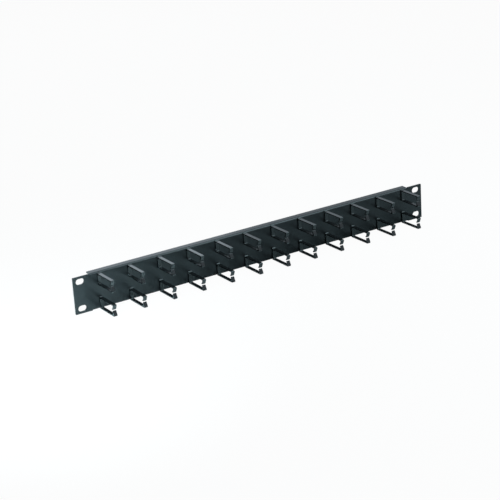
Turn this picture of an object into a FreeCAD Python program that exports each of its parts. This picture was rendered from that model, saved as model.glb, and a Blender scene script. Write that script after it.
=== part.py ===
import FreeCAD, Part
import os
import Sketcher

# Horizontal cable manager, one rack unit high: a folded steel panel with two rows of
# moulded snap-in cable rings.  Millimetres.  The origin is the middle of the panel's
# rear face, the face that meets the rack rails: +X runs along the panel, +Y points
# into the rack, +Z points up, and the rings stand out towards -Y.

SIZES = {
    # panel: one folded sheet
    "panel_length": 482.6,        # over both ears
    "panel_height": 43.66,        # one rack unit less the gap to the next panel
    "sheet_wall": 1.6,
    "flange_length": 439.2,       # the ears stand outside it
    "flange_reach": 9.4,          # front face of the panel to the back edge of a flange
    "bend_radius": 2.4,           # outside of the fold
    "relief_width": 0.6,          # notch between a flange's end and its ear
    "relief_extra": 0.3,          # how far the notch runs past the fold
    "ear_corner": 0.8,
    # rack fixing slots
    "slot_spacing_long": 465.1,
    "slot_spacing_high": 31.75,
    "slot_length": 10.3,
    "slot_width": 7.0,
    # layout of the rings
    "ring_columns": 12,
    "ring_pitch": 38.3,
    "ring_shift": 1.6,            # the columns' middle stands this far right of the panel's
    "row_spacing": 28.5,
    "row_drop": 0.75,             # the rows' middle lies this far below the panel's
    # ring: one moulding
    "ring_reach": 33.6,           # panel's front face to the front of the ring
    "ring_height": 13.9,
    "front_rise": 0.6,            # the front stands this much higher than the base
    "ring_width": 4.3,
    "base_wall": 1.8,
    "arm_root_wall": 1.45,
    "arm_front_wall": 1.25,
    "upper_finger_root": 1.6,     # the fingers thin towards their tips
    "lower_finger_root": 2.5,
    "finger_tip_wall": 1.1,
    "finger_setback": 2.2,        # how far the finger tips stand back from the front
    "mouth_gap": 1.4,
    "hook_reach": 1.0,            # the upper finger's inward hook
    "hook_wall": 1.0,
    "front_land": 1.6,            # upright part of the front at each corner
    "front_corner": 1.0,
    "finger_root_radius": 0.8,    # inside, between an arm and its finger
    "base_gusset": 0.8,           # slanted corner between the base and each arm
    "foot_overhang": 1.0,         # the foot stands above the upper arm, against the panel
    "foot_wall": 1.2,
    "foot_chamfer": 0.4,
    # split stud of the ring and its hole in the panel
    "hole_diameter": 4.0,
    "stud_width": 2.4,            # the two prongs are flats, seen from above this wide
    "stud_clearance": 0.15,       # all round, in the hole
    "barb_clearance": 0.15,       # between the panel's rear face and the snap barbs
    "barb_catch": 0.45,           # how far the snap barbs reach past the hole's edge
    "barb_land": 0.8,
    "nose_length": 2.4,
    "nose_height": 0.9,           # each prong's blunt end
    "split_width": 0.9,           # slot between the prongs
    "split_depth": 0.9,           # how far the slot runs into the base
}


class Dim:
    """A length that carries both its value and the sheet formula that gives it."""

    def __init__(self, value, formula):
        self.value = value
        self.formula = formula

    def join(self, sign, other, value):
        text = other.formula if isinstance(other, Dim) else repr(other)
        return Dim(value, "(%s %s %s)" % (self.formula, sign, text))

    def __add__(self, other):
        return self.join("+", other, self.value + number(other))

    def __sub__(self, other):
        return self.join("-", other, self.value - number(other))

    def __mul__(self, other):
        return self.join("*", other, self.value * number(other))

    def __truediv__(self, other):
        return self.join("/", other, self.value / number(other))

    def __neg__(self):
        return Dim(-self.value, "(0 mm - %s)" % self.formula)


def number(item):
    return item.value if isinstance(item, Dim) else float(item)


doc = FreeCAD.newDocument("cable_manager")
sheet = doc.addObject("Spreadsheet::Sheet", "Sizes")
for row, (name, value) in enumerate(SIZES.items(), start=1):
    sheet.set("A%d" % row, name)
    sheet.set("B%d" % row, str(value))
    sheet.setAlias("B%d" % row, name)
doc.recompute()


def size(name):
    return Dim(float(SIZES[name]), "Sizes.%s * 1 mm" % name)


def half_chord(radius, offset):
    """Half the height of a circle at a distance from its middle."""
    value = (radius.value ** 2 - offset.value ** 2) ** 0.5
    return Dim(value, "sqrt(%s ^ 2 - %s ^ 2)" % (radius.formula, offset.formula))


ZERO = Dim(0.0, "0 mm")

# ---------------------------------------------------------------- values worked out
half_length = size("panel_length") / 2
half_height = size("panel_height") / 2
wall = size("sheet_wall")
bend = size("bend_radius")
flange_back = size("flange_reach") - wall
half_flange = size("flange_length") / 2
relief_depth = bend + size("relief_extra")
column_count = int(SIZES["ring_columns"])
column_span = size("ring_pitch") * (column_count - 1)
first_column = size("ring_shift") - column_span / 2
upper_row = size("row_spacing") / 2 - size("row_drop")
lower_row = -size("row_spacing") / 2 - size("row_drop")

reach = size("ring_reach")
half_ring = size("ring_height") / 2
tip_reach = reach - size("finger_setback")
half_gap = size("mouth_gap") / 2
foot_top = half_ring + size("foot_overhang")
hole_radius = size("hole_diameter") / 2
shank = half_chord(hole_radius - size("stud_clearance"), size("stud_width") / 2)
barb_top = hole_radius + size("barb_catch")
barb_start = wall + size("barb_clearance")
barb_end = barb_start + size("barb_land")
nose_end = barb_end + size("nose_length")


# ---------------------------------------------------------------- drawing helpers
def bind(item, prop, dim):
    item.setExpression(prop, dim.formula)


def plane(body, role):
    for feature in body.Origin.OriginFeatures:
        if feature.Role == role:
            return feature
    raise ValueError(role)


def new_sketch(body, name, role):
    sketch = body.newObject("Sketcher::SketchObject", name)
    sketch.AttachmentSupport = [(plane(body, role), "")]
    sketch.MapMode = "FlatFace"
    return sketch


def pin_point(sketch, geo, end, point):
    """Ties one end of a line or the middle of a circle to the sheet."""
    for kind, dim in (("DistanceX", point[0]), ("DistanceY", point[1])):
        where = (-1, 1, geo, end)
        index = sketch.addConstraint(Sketcher.Constraint(kind, *where, dim.value))
        bind(sketch, "Constraints[%d]" % index, dim)


def polygon(sketch, points):
    """A closed outline of straight sides with every corner tied to the sheet."""
    corners = [FreeCAD.Vector(x.value, y.value, 0) for x, y in points]
    first = sketch.GeometryCount
    count = len(corners)
    for i in range(count):
        side = Part.LineSegment(corners[i], corners[(i + 1) % count])
        sketch.addGeometry(side, False)
    for i in range(count):
        here = first + i
        after = first + (i + 1) % count
        sketch.addConstraint(Sketcher.Constraint("Coincident", here, 2, after, 1))
    for i in range(count):
        pin_point(sketch, first + i, 1, points[i])


def rectangle(sketch, left, right, bottom, top):
    polygon(sketch, [(left, bottom), (right, bottom), (right, top), (left, top)])


def circle(sketch, centre, radius):
    middle = FreeCAD.Vector(centre[0].value, centre[1].value, 0)
    up = FreeCAD.Vector(0, 0, 1)
    geo = sketch.addGeometry(Part.Circle(middle, up, radius.value), False)
    index = sketch.addConstraint(Sketcher.Constraint("Radius", geo, radius.value))
    bind(sketch, "Constraints[%d]" % index, radius)
    pin_point(sketch, geo, 3, centre)


def pad(body, name, sketch, length, symmetric=False, backwards=False):
    feature = body.newObject("PartDesign::Pad", name)
    feature.Profile = sketch
    if symmetric:
        feature.SideType = "Symmetric"
    feature.Reversed = backwards
    bind(feature, "Length", length)
    return feature


def pocket(body, name, sketch, backwards=False):
    feature = body.newObject("PartDesign::Pocket", name)
    feature.Profile = sketch
    feature.Type = "ThroughAll"
    feature.Reversed = backwards
    return feature


def cross_edges(body, corners, within):
    """Names of the edges that run along X through the given (y, z) corners and end
    no further out than the given distance from the middle."""
    shape = body.Tip.Shape
    names = []
    for i, edge in enumerate(shape.Edges, start=1):
        box = edge.BoundBox
        if box.YLength > 1e-4 or box.ZLength > 1e-4:
            continue
        if max(-box.XMin, box.XMax) > within.value + 1e-3:
            continue
        for y, z in corners:
            if abs(box.YMin - y.value) < 1e-3 and abs(box.ZMin - z.value) < 1e-3:
                names.append("Edge%d" % i)
                break
    return names


def fillet(body, name, edges, radius):
    carrier = body.Tip
    feature = body.newObject("PartDesign::Fillet", name)
    feature.Base = (carrier, edges)
    bind(feature, "Radius", radius)
    return feature


# ---------------------------------------------------------------- folded panel
def make_panel():
    body = doc.addObject("PartDesign::Body", "Panel")
    body.Label = "panel"

    face = new_sketch(body, "FaceOutline", "XZ_Plane")
    rectangle(face, -half_length, half_length, -half_height, half_height)
    pad(body, "Face", face, wall)
    doc.recompute()

    # the strips that the folds and their end reliefs take out of the flat face
    strips = new_sketch(body, "FoldStrips", "XZ_Plane")
    strip_end = half_flange + size("relief_width")
    strip_edge = half_height - relief_depth
    rectangle(strips, -strip_end, strip_end, strip_edge, half_height + wall)
    rectangle(strips, -strip_end, strip_end, -half_height - wall, -strip_edge)
    pocket(body, "FoldOpening", strips, backwards=True)
    doc.recompute()

    # both folded flanges, drawn as the sheet's section and run along the panel
    section = new_sketch(body, "FlangeSection", "YZ_Plane")
    for top in (half_height, -half_height):
        inward = -wall if top is half_height else wall
        edge = strip_edge if top is half_height else -strip_edge
        polygon(section, [
            (-wall, edge),
            (-wall, top),
            (flange_back, top),
            (flange_back, top + inward),
            (ZERO, top + inward),
            (ZERO, edge),
        ])
    pad(body, "Flanges", section, size("flange_length"), symmetric=True)
    doc.recompute()

    outside = [(-wall, half_height), (-wall, -half_height)]
    inside = [(ZERO, half_height - wall), (ZERO, -half_height + wall)]
    fillet(body, "FoldOutside", cross_edges(body, outside, half_flange), bend)
    doc.recompute()
    fillet(body, "FoldInside", cross_edges(body, inside, half_flange), bend - wall)
    doc.recompute()

    # four slots that take the rack screws
    slots = new_sketch(body, "RackSlots", "XZ_Plane")
    straight = (size("slot_length") - size("slot_width")) / 2
    round_end = size("slot_width") / 2
    for side in (-1, 1):
        for level in (-1, 1):
            middle = size("slot_spacing_long") / 2 * side
            height = size("slot_spacing_high") / 2 * level
            slot(slots, middle, height, straight, round_end)
    pocket(body, "RackSlotCut", slots, backwards=True)
    doc.recompute()

    # one pair of ring holes, repeated along the panel
    holes = new_sketch(body, "RingHoles", "XZ_Plane")
    for level in (upper_row, lower_row):
        circle(holes, (first_column, level), hole_radius)
    hole_cut = pocket(body, "RingHoleCut", holes, backwards=True)
    doc.recompute()
    row = body.newObject("PartDesign::LinearPattern", "RingHoleRow")
    row.Originals = [hole_cut]
    row.Direction = (holes, ["H_Axis"])
    bind(row, "Length", column_span)
    row.setExpression("Occurrences", "Sizes.ring_columns")
    body.Tip = row
    doc.recompute()

    # the ears' outer corners
    corners = []
    for i, edge in enumerate(body.Tip.Shape.Edges, start=1):
        box = edge.BoundBox
        upright = box.XLength < 1e-4 and box.ZLength < 1e-4
        at_end = abs(abs(box.XMin) - half_length.value) < 1e-3
        if upright and at_end:
            corners.append("Edge%d" % i)
    fillet(body, "EarCorners", corners, size("ear_corner"))
    doc.recompute()
    return body


def slot(sketch, middle, height, straight, radius):
    """A level slot with round ends: two straight sides and two half circles."""
    left = middle - straight
    right = middle + straight
    top = height + radius
    bottom = height - radius
    up = FreeCAD.Vector(0, 0, 1)
    quarter = 1.5707963267948966

    def at(x, y):
        return FreeCAD.Vector(x.value, y.value, 0)

    def half_circle(x, start):
        ring = Part.Circle(at(x, height), up, radius.value)
        return Part.ArcOfCircle(ring, start, start + 2 * quarter)

    first = sketch.GeometryCount
    sketch.addGeometry(Part.LineSegment(at(left, bottom), at(right, bottom)), False)
    sketch.addGeometry(half_circle(right, -quarter), False)
    sketch.addGeometry(Part.LineSegment(at(right, top), at(left, top)), False)
    sketch.addGeometry(half_circle(left, quarter), False)
    for i in range(4):
        here = first + i
        after = first + (i + 1) % 4
        sketch.addConstraint(Sketcher.Constraint("Coincident", here, 2, after, 1))
    for geo, x in ((first + 1, right), (first + 3, left)):
        pin_point(sketch, geo, 3, (x, height))
        index = sketch.addConstraint(Sketcher.Constraint("Radius", geo, radius.value))
        bind(sketch, "Constraints[%d]" % index, radius)
    for geo, x, y in ((first, left, bottom), (first + 2, right, top)):
        index = sketch.addConstraint(
            Sketcher.Constraint("DistanceX", -1, 1, geo, 1, x.value))
        bind(sketch, "Constraints[%d]" % index, x)
    for geo, x in ((first, right), (first + 2, left)):
        index = sketch.addConstraint(
            Sketcher.Constraint("DistanceX", -1, 1, geo, 2, x.value))
        bind(sketch, "Constraints[%d]" % index, x)


# ---------------------------------------------------------------- snap-in cable ring
def make_ring(name, across, height):
    """One ring.  It is drawn with its base at Y = 0, reaching towards -Y, and then
    set on the panel's front face at its hole."""
    body = doc.addObject("PartDesign::Body", name.title().replace("_", ""))
    body.Label = name

    # the loop's outline seen from the side: base, two arms, and two fingers that
    # slant back from the front corners and leave a mouth between their tips
    loop = new_sketch(body, "Loop", "YZ_Plane")
    root_inner = half_ring - size("arm_root_wall")
    front_inner = half_ring - size("arm_front_wall")
    finger_back = tip_reach - size("finger_tip_wall")
    upper_elbow = reach - size("upper_finger_root")
    lower_elbow = reach - size("lower_finger_root")
    hook_back = finger_back - size("hook_reach")
    rise = size("front_rise")
    gap_top = rise + half_gap
    gap_bottom = rise - half_gap
    hook_top = gap_top + size("hook_wall")
    front_top = half_ring + rise
    front_bottom = rise - half_ring
    upper_inner = rise + front_inner
    lower_inner = rise - front_inner
    base_front = size("base_wall")
    gusset = size("base_gusset")
    land = size("front_land")
    polygon(loop, [
        (ZERO, -half_ring),
        (ZERO, half_ring),
        (-reach, front_top),
        (-reach, front_top - land),
        (-tip_reach, gap_top),
        (-hook_back, gap_top),
        (-hook_back, hook_top),
        (-finger_back, hook_top),
        (-upper_elbow, upper_inner),
        (-base_front - gusset, root_inner),
        (-base_front, root_inner - gusset),
        (-base_front, -root_inner + gusset),
        (-base_front - gusset, -root_inner),
        (-lower_elbow, lower_inner),
        (-finger_back, gap_bottom),
        (-tip_reach, gap_bottom),
        (-reach, front_bottom + land),
        (-reach, front_bottom),
    ])
    pad(body, "LoopBand", loop, size("ring_width"), symmetric=True)
    doc.recompute()

    # the foot that stands a little above the upper arm, against the panel
    foot = new_sketch(body, "FootOutline", "YZ_Plane")
    chamfer = size("foot_chamfer")
    foot_front = size("foot_wall")
    polygon(foot, [
        (ZERO, half_ring - base_front),
        (ZERO, foot_top),
        (-foot_front + chamfer, foot_top),
        (-foot_front, foot_top - chamfer),
        (-foot_front, half_ring - base_front),
    ])
    pad(body, "Foot", foot, size("ring_width"), symmetric=True)
    doc.recompute()

    front = [(-reach, front_top), (-reach, front_bottom)]
    side = size("ring_width") / 2
    fillet(body, "FrontCorners", cross_edges(body, front, side), size("front_corner"))
    doc.recompute()
    elbows = [(-upper_elbow, upper_inner), (-lower_elbow, lower_inner)]
    roots = cross_edges(body, elbows, side)
    fillet(body, "FingerRoots", roots, size("finger_root_radius"))
    doc.recompute()

    # the stud: two flat prongs, one above the other, each with a snap barb that
    # catches behind the panel and a nose that slants down to lead it in
    stud = new_sketch(body, "StudSection", "YZ_Plane")
    polygon(stud, [
        (-base_front / 2, -shank),
        (barb_start, -shank),
        (barb_start, -barb_top),
        (barb_end, -barb_top),
        (nose_end, -size("nose_height")),
        (nose_end, size("nose_height")),
        (barb_end, barb_top),
        (barb_start, barb_top),
        (barb_start, shank),
        (-base_front / 2, shank),
    ])
    pad(body, "Stud", stud, size("stud_width"), symmetric=True)
    doc.recompute()

    # the slot between the prongs, open at both sides and let into the base
    split = new_sketch(body, "Split", "YZ_Plane")
    half_split = size("split_width") / 2
    rectangle(split, -size("split_depth"), nose_end + half_split, -half_split, half_split)
    cut = body.newObject("PartDesign::Pocket", "SplitCut")
    cut.Profile = split
    cut.SideType = "Symmetric"
    cut.Type = "Length"
    bind(cut, "Length", size("stud_width"))
    doc.recompute()

    bind(body, "Placement.Base.x", across)
    bind(body, "Placement.Base.y", -wall)
    bind(body, "Placement.Base.z", height)
    return body


bodies = [make_panel()]
for row_name, level in (("upper", upper_row), ("lower", lower_row)):
    for column in range(column_count):
        place = first_column + size("ring_pitch") * column
        ring_name = "ring_%s_%02d" % (row_name, column + 1)
        bodies.append(make_ring(ring_name, place, level))
doc.recompute()

# ---------------------------------------------------------------- checks and files
for item in doc.Objects:
    bad = [state for state in item.State if state in ("Invalid", "Error")]
    if bad:
        raise RuntimeError("%s is %s" % (item.Label, ", ".join(bad)))
labels = set()
for body in bodies:
    shape = body.Shape
    if shape.isNull() or not shape.isValid() or len(shape.Solids) != 1:
        raise RuntimeError("%s has no sound solid" % body.Label)
    if body.Label in labels:
        raise RuntimeError("%s is used twice" % body.Label)
    labels.add(body.Label)

os.makedirs("parts", exist_ok=True)
for body in bodies:
    body.Shape.exportStep("parts/%s.step" % body.Label)
print("wrote %d parts" % len(bodies))
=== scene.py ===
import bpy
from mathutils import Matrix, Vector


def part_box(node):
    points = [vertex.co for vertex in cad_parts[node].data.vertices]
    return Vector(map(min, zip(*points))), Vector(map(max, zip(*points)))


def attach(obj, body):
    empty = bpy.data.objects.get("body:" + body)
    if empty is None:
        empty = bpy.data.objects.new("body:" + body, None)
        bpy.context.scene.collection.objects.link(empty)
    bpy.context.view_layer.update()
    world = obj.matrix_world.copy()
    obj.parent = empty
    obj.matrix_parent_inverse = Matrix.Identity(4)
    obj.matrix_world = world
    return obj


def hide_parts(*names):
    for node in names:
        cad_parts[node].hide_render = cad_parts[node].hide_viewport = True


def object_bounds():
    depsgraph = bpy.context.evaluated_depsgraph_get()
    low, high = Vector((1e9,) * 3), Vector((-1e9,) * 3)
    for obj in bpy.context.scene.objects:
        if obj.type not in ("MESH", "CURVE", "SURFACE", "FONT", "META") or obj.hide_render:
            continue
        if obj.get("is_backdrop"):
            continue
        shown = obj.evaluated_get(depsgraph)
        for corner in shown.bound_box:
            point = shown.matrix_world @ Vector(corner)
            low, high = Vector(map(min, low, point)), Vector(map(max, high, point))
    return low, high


bl_info = {
    "name": "Horizontal cable manager",
    "version": (1, 0, 0),
    "blender": (4, 5, 0),
    "location": "3D View > Sidebar > Cable manager",
    "description": "Dresses a one-unit rack cable manager: coated panel, moulded rings and stage",
    "category": "Object",
}

import math

import bmesh
import bpy
import numpy as np
from mathutils import Matrix, Vector

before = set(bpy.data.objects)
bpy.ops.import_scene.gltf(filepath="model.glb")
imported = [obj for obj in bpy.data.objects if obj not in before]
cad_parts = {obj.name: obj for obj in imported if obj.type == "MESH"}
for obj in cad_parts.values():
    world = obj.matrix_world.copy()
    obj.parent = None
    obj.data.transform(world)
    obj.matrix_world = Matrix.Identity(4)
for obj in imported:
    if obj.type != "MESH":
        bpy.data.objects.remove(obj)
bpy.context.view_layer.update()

MM = 0.001
PANEL = "panel"
RINGS = sorted(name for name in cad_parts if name.startswith("ring_"))


# ---------------------------------------------------------------- node helpers
# a colour Mix node's two colours and its result, by number, as their names repeat
MIX_LOW, MIX_HIGH, MIX_RESULT = 6, 7, 2
# what a noise is in the mean
NOISE_MIDDLE = 0.5


class Wire:
    """One output socket.  Sums, differences and products of wires add Math nodes."""

    def __init__(self, shop, socket):
        self.shop = shop
        self.socket = socket

    def maths(self, operation, first, second):
        """The result of a Math node on two wires or numbers."""
        made = self.shop.node("ShaderNodeMath", {"operation": operation},
                              {0: first, 1: second})
        return made["Value"]

    def __add__(self, other):
        return self.maths("ADD", self, other)

    def __radd__(self, other):
        return self.maths("ADD", other, self)

    def __sub__(self, other):
        return self.maths("SUBTRACT", self, other)

    def __rsub__(self, other):
        return self.maths("SUBTRACT", other, self)

    def __mul__(self, other):
        return self.maths("MULTIPLY", self, other)

    def __rmul__(self, other):
        return self.maths("MULTIPLY", other, self)


class Outputs:
    """A node's outputs, by name or number, as wires."""

    def __init__(self, shop, made):
        self.shop = shop
        self.made = made

    def __getitem__(self, key):
        return Wire(self.shop, self.made.outputs[key])


class Workshop:
    """Builds one node tree."""

    def __init__(self, tree):
        self.tree = tree
        self.tree.nodes.clear()

    def node(self, kind, settings, sockets):
        """Adds a node.  Its settings are set first, and then each of its sockets,
        by name or number, gets a value or a link."""
        made = self.tree.nodes.new(kind)
        for name, value in settings.items():
            setattr(made, name, value)
        for key, value in sockets.items():
            if isinstance(value, Wire):
                self.tree.links.new(value.socket, made.inputs[key])
            else:
                made.inputs[key].default_value = value
        return Outputs(self, made)

    def place(self):
        """Where a point is on the object, in metres."""
        return self.node("ShaderNodeTexCoord", {}, {})["Object"]

    def noise(self, where, size, detail=2.0, roughness=0.5):
        """Noise whose grains are about one size across, from 0 to 1."""
        return self.node("ShaderNodeTexNoise", {},
                         {"Vector": where, "Scale": 1.0 / size, "Detail": detail,
                          "Roughness": roughness})["Fac"]

    def between(self, mask, low, high):
        """A colour that goes from low to high as the mask goes from 0 to 1."""
        return self.node("ShaderNodeMix", {"data_type": "RGBA"},
                         {"Factor": mask, MIX_LOW: low, MIX_HIGH: high})[MIX_RESULT]

    def bump(self, height, strength, distance):
        """A surface that seems to stand up by the distance where the height is 1."""
        return self.node("ShaderNodeBump", {},
                         {"Strength": strength, "Distance": distance,
                          "Height": height})["Normal"]

    def skin(self, colour, roughness, normal, ior):
        """The finished surface of a material, led to its output."""
        shader = self.node("ShaderNodeBsdfPrincipled", {},
                           {"Base Color": colour, "Roughness": roughness,
                            "Normal": normal, "IOR": ior})
        self.node("ShaderNodeOutputMaterial", {}, {"Surface": shader["BSDF"]})

    def background(self, colour, strength):
        """Light that comes from the world."""
        return self.node("ShaderNodeBackground", {},
                         {"Color": colour, "Strength": strength})["Background"]

    def mixed(self, share, first, second):
        """The first shader where the share is 0, and the second where it is 1."""
        return self.node("ShaderNodeMixShader", {},
                         {0: share, 1: first, 2: second})["Shader"]


def rgba(colour, times=1.0):
    """A colour socket's value: red, green and blue, each times one number."""
    return tuple(part * times for part in colour) + (1.0,)


def new_material(name):
    """An empty material and the workshop that fills it."""
    material = bpy.data.materials.new(name)
    material.use_nodes = True
    return material, Workshop(material.node_tree)


def powder_coat(settings):
    """Satin black powder coat: a slightly uneven skin over steel, with the fine
    orange-peel swell and grain that such a coat has.  Wide faint clouds shift its
    colour and its gloss."""
    swell_share, grain_share = 0.7, 0.3
    grain_gloss, cloud_gloss = 0.12, 0.10
    darkest, palest = 0.92, 1.08
    material, shop = new_material("panel_powder_coat")
    where = shop.place()
    swell = shop.noise(where, size=0.0026)
    grain = shop.noise(where, size=0.0007, detail=3.0, roughness=0.6)
    cloud = shop.noise(where, size=0.040, detail=3.0)
    colour = shop.between(cloud, rgba(settings.coat_colour, darkest),
                          rgba(settings.coat_colour, palest))
    rough = (settings.coat_roughness + (grain - NOISE_MIDDLE) * grain_gloss
             + (cloud - NOISE_MIDDLE) * cloud_gloss)
    normal = shop.bump(swell * swell_share + grain * grain_share,
                       strength=0.45, distance=0.00025)
    shop.skin(colour, rough, normal, ior=1.5)
    return material


def moulded_nylon(settings):
    """Black moulded nylon: smooth, a little glossy, with faint cloudy flow marks and
    a fine matt grain."""
    grain_share, flow_share = 0.6, 0.4
    flow_gloss = 0.10
    darkest, palest = 0.85, 1.2
    material, shop = new_material("ring_nylon")
    where = shop.place()
    grain = shop.noise(where, size=0.0005, detail=3.0, roughness=0.6)
    flow = shop.noise(where, size=0.006)
    colour = shop.between(flow, rgba(settings.ring_colour, darkest),
                          rgba(settings.ring_colour, palest))
    rough = settings.ring_roughness + (flow - NOISE_MIDDLE) * flow_gloss
    normal = shop.bump(grain * grain_share + flow * flow_share,
                       strength=0.25, distance=0.00012)
    shop.skin(colour, rough, normal, ior=1.58)
    return material


# ---------------------------------------------------------------- shape helpers
# points along the arc of a rounded corner
CORNER_POINTS = 7
# steps round a softened edge, of a strap and of the sheet
STRAP_STEPS = 4
SHEET_STEPS = 3
# the most that an edge's radius may be, as a share of a strap's thickness
EDGE_SHARE = 0.45
# points of a ring or of the sheet that are closer than this become one, in metres
RING_WELD = 1e-7
SHEET_WELD = 2e-6
# faces that turn by less than the first angle become one flat face, and the sheet's
# edges that turn by more than the second are softened
FLAT_ANGLE = math.radians(0.5)
SHARP_ANGLE = math.radians(40.0)
# how much more the large faces count than the small ones in the shading
FLAT_WEIGHT = 50


def arc(before, here, after, radius):
    """Points (y, z) along the arc that rounds the corner here, between the sides
    from before and to after, and is tangent to both.

    With h half the angle between the sides, the arc's centre lies radius / sin h
    from the corner along their bisector, and its ends lie radius / tan h from the
    corner along the sides.  The sweep w is pi - 2h.  At a share s of it the point is
    centre + (sin((1 - s) w) * start + sin(s w) * end) / sin w, where start and end
    are the arc's ends seen from its centre."""
    before, here, after = (np.asarray(point, float) for point in (before, here, after))
    back = (before - here) / np.linalg.norm(before - here)
    on = (after - here) / np.linalg.norm(after - here)
    half = 0.5 * math.acos(float(np.clip(back @ on, -1.0, 1.0)))
    middle = (back + on) / np.linalg.norm(back + on)
    centre = here + middle * radius / math.sin(half)
    start = here + back * radius / math.tan(half) - centre
    end = here + on * radius / math.tan(half) - centre
    share = np.linspace(0.0, 1.0, CORNER_POINTS)[:, None]
    sweep = math.pi - 2.0 * half
    turned = np.sin((1.0 - share) * sweep) * start + np.sin(share * sweep) * end
    return centre + turned / math.sin(sweep)


def rounded_end(outer, inner, inwards, edge):
    """The rows of points that round off a strap's end, from the full section to the
    end face, and how far each row draws in.

    For a quarter turn a the row moves by edge * (sin a - 1) along the strap's way
    out, which is square to the section and away from the point inwards, and draws
    in by edge * (1 - cos a)."""
    section = inner - outer
    normal = np.array([-section[1], section[0]])
    out = normal * np.sign(normal @ ((outer + inner) / 2.0 - inwards))
    out /= np.linalg.norm(out)
    turn = np.linspace(0.0, math.pi / 2.0, STRAP_STEPS + 1)
    move = (out * edge) * (np.sin(turn) - 1.0)[:, None]
    return outer + move, inner + move, edge * (1.0 - np.cos(turn))


def band(outer, inner, width, edge):
    """A flat strap of varying thickness with rounded edges, closed at both ends.

    At every station the section is a rectangle that spans from the outer point to
    the inner point and is as wide as the strap.  Its four corners are quarter
    circles of the edge radius.  With t the turn round the section, the surface is
    outer + depth(t) * (inner - outer) / thickness, at across(t) along X.  A last
    face closes each rounded end."""
    outer = np.asarray(outer, float)
    inner = np.asarray(inner, float)
    middle = (outer + inner) / 2.0
    first = [rows[::-1] for rows in rounded_end(outer[0], inner[0], middle[1], edge)]
    last = rounded_end(outer[-1], inner[-1], middle[-2], edge)
    a = np.concatenate([first[0], outer[1:-1], last[0]])
    b = np.concatenate([first[1], inner[1:-1], last[1]])
    cut = np.concatenate([first[2], np.zeros(len(outer) - 2), last[2]])[:, None]

    thick = np.linalg.norm(b - a, axis=1)[:, None]
    across = (b - a) / thick
    radius = np.minimum(edge, thick * EDGE_SHARE)
    turn = np.linspace(0.0, math.pi / 2.0, STRAP_STEPS + 1)
    corners_x, corners_depth = [], []
    for side, far, sweep in ((1.0, False, turn), (1.0, True, turn[::-1]),
                             (-1.0, True, turn), (-1.0, False, turn[::-1])):
        x = side * (width / 2.0 - radius + radius * np.sin(sweep))
        depth = radius - radius * np.cos(sweep)
        if far:
            depth = thick - depth
        # the end rows draw in on all sides by their cut
        corners_x.append(np.sign(x) * np.maximum(np.abs(x) - cut, 0.0))
        corners_depth.append(np.clip(depth, cut, thick - cut))
    x = np.concatenate(corners_x, 1)
    depth = np.concatenate(corners_depth, 1)
    y = a[:, :1] + across[:, :1] * depth
    z = a[:, 1:] + across[:, 1:] * depth
    index = np.arange(x.size).reshape(x.shape)
    turned = np.roll(index, -1, 1)
    quads = np.stack([index[:-1], turned[:-1], turned[1:], index[1:]], -1)
    caps = [index[0][::-1].tolist(), index[-1].tolist()]
    return np.stack([x, y, z], -1).reshape(-1, 3), quads.reshape(-1, 4).tolist() + caps


def joined(parts):
    """Several closed surfaces in one list of points and faces."""
    points, faces, start = [], [], 0
    for some, sides in parts:
        points.append(some)
        faces.extend([[i + start for i in face] for face in sides])
        start += len(some)
    return np.concatenate(points), faces


def even_shading(piece):
    """Lets the large flat faces set the shading, so that the small rounded edges
    between them catch the light and the flats stay flat."""
    even = piece.modifiers.new("even_shading", "WEIGHTED_NORMAL")
    even.mode = "FACE_AREA"
    even.weight = FLAT_WEIGHT
    even.keep_sharp = False


def finish_piece(name, mesh, stands_for, material):
    """Puts a mesh into the scene as a piece of the object with one finish."""
    mesh.polygons.foreach_set("use_smooth", np.ones(len(mesh.polygons), bool))
    mesh.materials.clear()
    mesh.materials.append(material)
    piece = bpy.data.objects.new(name, mesh)
    bpy.context.scene.collection.objects.link(piece)
    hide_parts(stands_for)
    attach(piece, "root")
    return piece


# ---------------------------------------------------------------- settings
class ManagerSettings(bpy.types.PropertyGroup):
    coat_colour: bpy.props.FloatVectorProperty(
        name="Coat colour", description="Colour of the panel's powder coat",
        subtype="COLOR", size=3, min=0.0, max=1.0, default=(0.0040, 0.0055, 0.0065))
    coat_roughness: bpy.props.FloatProperty(
        name="Coat roughness", description="0 is a mirror and 1 is chalk",
        subtype="FACTOR", min=0.0, max=1.0, default=0.32)
    ring_colour: bpy.props.FloatVectorProperty(
        name="Ring colour", description="Colour of the moulded rings",
        subtype="COLOR", size=3, min=0.0, max=1.0, default=(0.0030, 0.0040, 0.0045))
    ring_roughness: bpy.props.FloatProperty(
        name="Ring roughness", description="0 is a mirror and 1 is chalk",
        subtype="FACTOR", min=0.0, max=1.0, default=0.19)
    panel_edge: bpy.props.FloatProperty(
        name="Panel edge", description="How far the sheet's cut edges are softened",
        unit="LENGTH", min=0.0, max=0.0007, default=0.0003)
    ring_edge: bpy.props.FloatProperty(
        name="Ring edge", description="Radius along the rings' moulded edges",
        unit="LENGTH", min=0.0, max=0.0005, default=0.0003)
    floor_colour: bpy.props.FloatVectorProperty(
        name="Floor colour", description="Colour of the studio floor",
        subtype="COLOR", size=3, min=0.0, max=1.0, default=(0.90, 0.90, 0.90))
    camera_distance: bpy.props.FloatProperty(
        name="Camera distance", description="From the camera to the panel's middle",
        unit="LENGTH", min=0.5, max=10.0, default=1.9466)
    camera_lens: bpy.props.FloatProperty(
        name="Lens", description="Focal length for a 36 mm sensor, in millimetres",
        unit="CAMERA", min=20.0, max=300.0, default=119.69)


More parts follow.
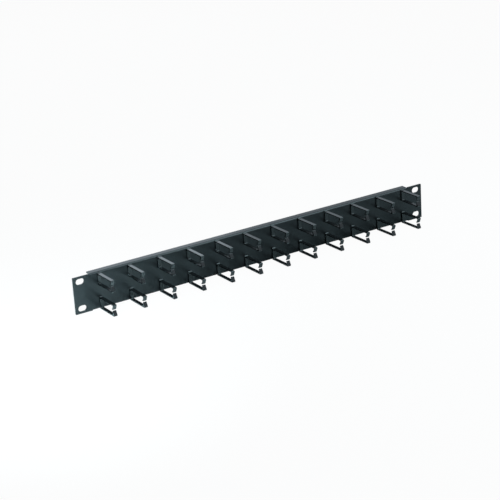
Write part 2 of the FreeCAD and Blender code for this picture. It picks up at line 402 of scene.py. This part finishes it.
# ---------------------------------------------------------------- pieces
class MANAGER_OT_panel(bpy.types.Operator):
    """Makes the folded panel with softened edges and coats it"""
    bl_idname = "manager.panel"
    bl_label = "Coat the panel"

    def execute(self, context):
        settings = context.scene.cable_manager
        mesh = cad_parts[PANEL].data.copy()
        mesh.name = "coated_panel"
        work = bmesh.new()
        work.from_mesh(mesh)
        bmesh.ops.remove_doubles(work, verts=work.verts, dist=SHEET_WELD)
        bmesh.ops.dissolve_limit(work, angle_limit=FLAT_ANGLE, verts=work.verts,
                                 edges=work.edges)
        work.to_mesh(mesh)
        work.free()
        piece = finish_piece("coated_panel", mesh, PANEL,
                             powder_coat(settings))
        soft = piece.modifiers.new("softened_edges", "BEVEL")
        soft.width = settings.panel_edge
        soft.segments = SHEET_STEPS
        soft.limit_method = "ANGLE"
        soft.angle_limit = SHARP_ANGLE
        even_shading(piece)
        return {"FINISHED"}


class MANAGER_OT_rings(bpy.types.Operator):
    """Makes the moulded snap-in rings"""
    bl_idname = "manager.rings"
    bl_label = "Mould the rings"

    # One ring's section seen from the side, in millimetres: Y from the ring's base
    # towards the panel, so that the ring stands at minus Y, and Z up from the middle
    # of its base.

    # the loop, and how much higher its front stands than its base
    reach, height, width, rise = 33.6, 13.9, 4.3, 0.6
    # walls of the base and of the arms, and the slope between them
    base, arm_root, arm_front, gusset = 1.8, 1.45, 1.25, 0.8
    # from the front to each finger's root, a finger's wall, and how far it slants back
    upper_root, lower_root, finger, setback = 1.6, 2.5, 1.1, 2.2
    # the mouth, the upright land under each front corner, and the corners' radii
    mouth, land, outside_corner, inside_corner = 1.4, 1.6, 1.0, 0.8
    # the upper finger's inward hook
    hook, hook_wall = 1.0, 1.0
    # the foot above the base, with its cut corner
    foot_rise, foot_wall, foot_cut = 1.0, 1.2, 0.4
    # the split stud: its shank's radius, width, split, how deep the split runs into
    # the base, and the edge of a prong
    shank, stud, split, split_deep, stud_edge = 1.408, 2.4, 0.9, 0.9, 0.12
    # its barbs and its nose
    barb_start, barb_ramp, barb_end, barb_top = 1.75, 0.02, 2.55, 2.45
    nose_end, nose = 4.95, 0.9

    # where the inner line's stations lie, so that the sections don't cross at a corner:
    # up the gusset behind the foot, just before the arm, and round the hook
    foot_steps = (0.3, 0.5)
    arm_step, arm_lift = 0.4, 0.005
    hook_lead, hook_draft, hook_fillet, hook_chamfer = 0.1, 0.02, 0.12, 0.2
    front_steps = (0.1, 0.25, 0.4)

    def execute(self, context):
        settings = context.scene.cable_manager
        material = moulded_nylon(settings)
        points, faces = self.ring(settings.ring_edge / MM)
        foot_top = self.height / 2.0 + self.foot_rise
        for name in RINGS:
            low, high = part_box(name)
            place = np.array([(low[0] + high[0]) / 2.0, high[1] - self.nose_end * MM,
                              high[2] - foot_top * MM])
            self.mould("moulded_" + name, points * MM + place, faces, name, material)
        return {"FINISHED"}

    @staticmethod
    def mould(name, points, faces, stands_for, material):
        """One ring, from its points in metres where they lie on the object."""
        mesh = bpy.data.meshes.new(name)
        mesh.from_pydata(points.tolist(), [], faces)
        work = bmesh.new()
        work.from_mesh(mesh)
        bmesh.ops.remove_doubles(work, verts=work.verts, dist=RING_WELD)
        bmesh.ops.recalc_face_normals(work, faces=work.faces)
        work.to_mesh(mesh)
        work.free()
        even_shading(finish_piece(name, mesh, stands_for, material))

    def ring(self, edge):
        """The loop and the stud's two prongs, drawn round the middle of the base."""
        return joined([self.loop(edge), self.prong(1.0), self.prong(-1.0)])

    def loop(self, edge):
        """The open loop, as a strap that runs from the lower finger's tip back along
        the lower arm, up the base and forward along the upper arm to the upper
        finger's hooked tip.  Each station pairs an outer point with an inner one."""
        half = self.height / 2.0
        top = half + self.foot_rise
        low, high = self.rise - half, self.rise + half
        low_inside, high_inside = low + self.arm_front, high - self.arm_front
        root_inside = half - self.arm_root
        gusset_front = -(self.base + self.gusset)
        arm_start = gusset_front - self.arm_step
        tip_front = -(self.reach - self.setback)
        tip_back = tip_front + self.finger
        mouth_low, mouth_high = self.rise - self.mouth / 2.0, self.rise + self.mouth / 2.0
        hook_back = tip_back + self.hook
        hook_top = mouth_high + self.hook_wall

        def under(y):
            """A point of the lower arm's underside."""
            return y, -half + self.rise * -y / self.reach

        def over(y):
            """A point of the upper arm's top."""
            return y, half + self.rise * -y / self.reach

        def slope(step):
            """A point of the upper gusset, a step along it from the base."""
            return -self.base - step, root_inside - self.gusset + step

        def slant(z):
            """A point of the upper finger's slanting front."""
            share = (z - mouth_high) / (high - self.land - mouth_high)
            return tip_front - share * self.setback, z

        low_front = (-self.reach, low + self.land)
        high_front = (-self.reach, high - self.land)
        low_out = arc(low_front, (-self.reach, low), (0.0, -half), self.outside_corner)
        low_in = arc((tip_back, mouth_low), (self.lower_root - self.reach, low_inside),
                     (gusset_front, -root_inside), self.inside_corner)
        high_out = arc((0.0, half), (-self.reach, high), high_front, self.outside_corner)
        high_in = arc((gusset_front, root_inside),
                      (self.upper_root - self.reach, high_inside),
                      (tip_back, hook_top), self.inside_corner)
        foot_low, foot_high = self.foot_steps
        front_high, front_middle, front_low = self.front_steps
        stations = [
            ((tip_front, mouth_low), (tip_back, mouth_low)),
            (low_front, low_in[0]),
            *zip(low_out, low_in),
            (under(gusset_front), (gusset_front, -root_inside)),
            ((0.0, -half), (-self.base, -root_inside + self.gusset)),
            ((0.0, top), slope(0.0)),
            ((self.foot_cut - self.foot_wall, top), slope(foot_low)),
            ((-self.foot_wall, top - self.foot_cut), slope(foot_high)),
            (over(-self.foot_wall), slope(self.gusset)),
            (over(arm_start), (arm_start, root_inside + self.arm_lift)),
            *zip(high_out, high_in),
            (high_front, high_in[-1]),
            (slant(hook_top + self.hook_lead),
             (tip_back - self.hook_draft, hook_top + self.hook_lead)),
            (slant(hook_top - front_high), (tip_back + self.hook_fillet, hook_top)),
            (slant(hook_top - front_middle), (hook_back - self.hook_chamfer, hook_top)),
            (slant(hook_top - front_low), (hook_back, hook_top - self.hook_chamfer)),
            ((tip_front, mouth_high), (hook_back, mouth_high)),
        ]
        outer, inner = zip(*stations)
        return band(outer, inner, self.width, edge)

    def prong(self, side):
        """One half of the split stud, above the split for side 1 and below it for
        side -1: shank, barb and tapering nose on one hand, the split on the other."""
        profile = np.array([(-self.split_deep, self.shank),
                            (self.barb_start, self.shank),
                            (self.barb_start + self.barb_ramp, self.barb_top),
                            (self.barb_end, self.barb_top),
                            (self.nose_end, self.nose)])
        inside = np.stack([profile[:, 0], np.full(len(profile), self.split / 2.0)], 1)
        turned = np.array([1.0, side])
        return band(profile * turned, inside * turned, self.stud, self.stud_edge)


# ---------------------------------------------------------------- stage
# the softboxes in front and the light all round, what comes from behind and what the
# gloss mirrors, and plain white
COOL = (0.69, 0.98, 1.06)
SKY = (0.85, 0.98, 1.08)
WHITE = (1.0, 1.0, 1.0)
# how strong the world is as light on the object, in its gloss and as the background
AROUND, MIRRORED, BEHIND = 0.10, 0.66, 1.0
# how far the camera sees the floor as plain white and not as lit, from 0 to 1
FLOOR_WHITE = 0.96
# half the floor's side, in metres
FLOOR_HALF = 6.0
# the camera's turn in degrees, and the point that it looks at, close to the middle
# of the panel's front
AZIMUTH, ELEVATION, ROLL = -31.062, 20.533, -3.668
TARGET = (-0.01145, -0.0016, -0.00232)
# its sensor's width in millimetres, and how far it sees in metres
SENSOR = 36.0
FARTHEST = 50.0


def aim(azimuth, elevation, roll):
    """The way back from what a camera looks at to the camera, and the camera's turn.

    Azimuth 0 looks along +Y, elevation looks down, and roll turns the picture about
    the line of sight.  Angles in degrees."""
    a, e, r = (math.radians(v) for v in (azimuth, elevation, roll))
    back = Vector((math.sin(a) * math.cos(e), -math.cos(a) * math.cos(e), math.sin(e)))
    right = Vector((math.cos(a), math.sin(a), 0.0))
    up = back.cross(right)
    side = right * math.cos(r) + up * math.sin(r)
    head = up * math.cos(r) - right * math.sin(r)
    turn = Matrix((side, head, back)).transposed()
    return back, turn


def soft_lamp(name, place, look, across, high, power, colour, spread=180.0):
    """A rectangular softbox at a place, turned to face another.  A grid on its
    front narrows its beam to the spread, in degrees."""
    lamp = bpy.data.lights.new(name, "AREA")
    lamp.shape = "RECTANGLE"
    lamp.size = across
    lamp.size_y = high
    lamp.energy = power
    lamp.spread = math.radians(spread)
    lamp.color = colour
    thing = bpy.data.objects.new(name, lamp)
    bpy.context.scene.collection.objects.link(thing)
    turn = (Vector(look) - Vector(place)).to_track_quat("-Z", "Y")
    thing.matrix_world = Matrix.Translation(Vector(place)) @ turn.to_matrix().to_4x4()
    thing.visible_camera = False


class MANAGER_OT_stage(bpy.types.Operator):
    """Makes the pale floor, the studio light and the camera"""
    bl_idname = "manager.stage"
    bl_label = "Set the stage"

    def execute(self, context):
        settings = context.scene.cable_manager
        self.floor(settings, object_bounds()[0][2])
        self.light()
        self.camera(context, settings)
        context.scene.view_settings.view_transform = "Standard"
        return {"FINISHED"}

    @staticmethod
    def floor(settings, level):
        """A flat pale floor at a level, which keeps a faint shadow of the object."""
        reach = np.linspace(-FLOOR_HALF, FLOOR_HALF, 2)
        grid_x, grid_y = np.meshgrid(reach, reach)
        corners = np.stack([grid_x, grid_y, np.full_like(grid_x, level)], -1)
        mesh = bpy.data.meshes.new("floor")
        mesh.from_pydata(corners.reshape(-1, 3).tolist(), [], [(0, 1, 3, 2)])
        floor = bpy.data.objects.new("floor", mesh)
        bpy.context.scene.collection.objects.link(floor)
        material, shop = new_material("studio_floor")
        matt = shop.node("ShaderNodeBsdfDiffuse", {},
                         {"Color": rgba(settings.floor_colour)})["BSDF"]
        glow = shop.node("ShaderNodeEmission", {},
                         {"Color": rgba(WHITE), "Strength": 1.0})["Emission"]
        seen = shop.node("ShaderNodeLightPath", {}, {})["Is Camera Ray"]
        surface = shop.mixed(seen * FLOOR_WHITE, matt, glow)
        shop.node("ShaderNodeOutputMaterial", {}, {"Surface": surface})
        mesh.materials.append(material)
        floor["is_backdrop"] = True

    @staticmethod
    def light():
        """A dim room with a bright sky, and three softboxes."""
        world = bpy.data.worlds.new("studio")
        bpy.context.scene.world = world
        world.use_nodes = True
        shop = Workshop(world.node_tree)
        rays = shop.node("ShaderNodeLightPath", {}, {})
        lit = shop.mixed(rays["Is Glossy Ray"], shop.background(rgba(COOL), AROUND),
                         shop.background(rgba(SKY), MIRRORED))
        surface = shop.mixed(rays["Is Camera Ray"], lit,
                             shop.background(rgba(WHITE), BEHIND))
        shop.node("ShaderNodeOutputWorld", {}, {"Surface": surface})
        soft_lamp("near_softbox", place=(-0.46, -0.27, 0.30), look=(-0.35, -0.10, 0.0),
                  across=0.3, high=0.3, power=1.0, colour=COOL, spread=60.0)
        soft_lamp("overhead_softbox", place=(0.42, -0.34, 0.75), look=(0.05, -0.02, 0.0),
                  across=0.7, high=0.8, power=5.4, colour=COOL)
        soft_lamp("back_softbox", place=(0.30, 1.3, 0.7), look=(0.0, 0.0, 0.0),
                  across=0.8, high=0.8, power=1.7, colour=SKY)

    @staticmethod
    def camera(context, settings):
        """A long lens that looks slightly down from the left of the front."""
        lens = bpy.data.cameras.new("camera")
        lens.sensor_width = SENSOR
        lens.lens = settings.camera_lens
        lens.clip_end = FARTHEST
        viewer = bpy.data.objects.new("camera", lens)
        context.scene.collection.objects.link(viewer)
        back, turn = aim(AZIMUTH, ELEVATION, ROLL)
        place = Vector(TARGET) + back * settings.camera_distance
        viewer.matrix_world = Matrix.Translation(place) @ turn.to_4x4()
        context.scene.camera = viewer


class MANAGER_PT_sidebar(bpy.types.Panel):
    """Lists the cable manager's pieces"""
    bl_idname = "MANAGER_PT_sidebar"
    bl_label = "Cable manager"
    bl_space_type = "VIEW_3D"
    bl_region_type = "UI"
    bl_category = "Cable manager"

    def draw(self, context):
        settings = context.scene.cable_manager
        for name in settings.bl_rna.properties.keys():
            if name not in ("rna_type", "name"):
                self.layout.prop(settings, name)
        for kind in OPERATORS:
            self.layout.operator(kind.bl_idname)


OPERATORS = (MANAGER_OT_panel, MANAGER_OT_rings, MANAGER_OT_stage)
CLASSES = (ManagerSettings,) + OPERATORS + (MANAGER_PT_sidebar,)


def register():
    for kind in CLASSES:
        bpy.utils.register_class(kind)
    bpy.types.Scene.cable_manager = bpy.props.PointerProperty(type=ManagerSettings)


def unregister():
    del bpy.types.Scene.cable_manager
    for kind in reversed(CLASSES):
        bpy.utils.unregister_class(kind)


def main():
    register()
    bpy.ops.manager.panel()
    bpy.ops.manager.rings()
    bpy.ops.manager.stage()


if __name__ == "__main__":
    main()
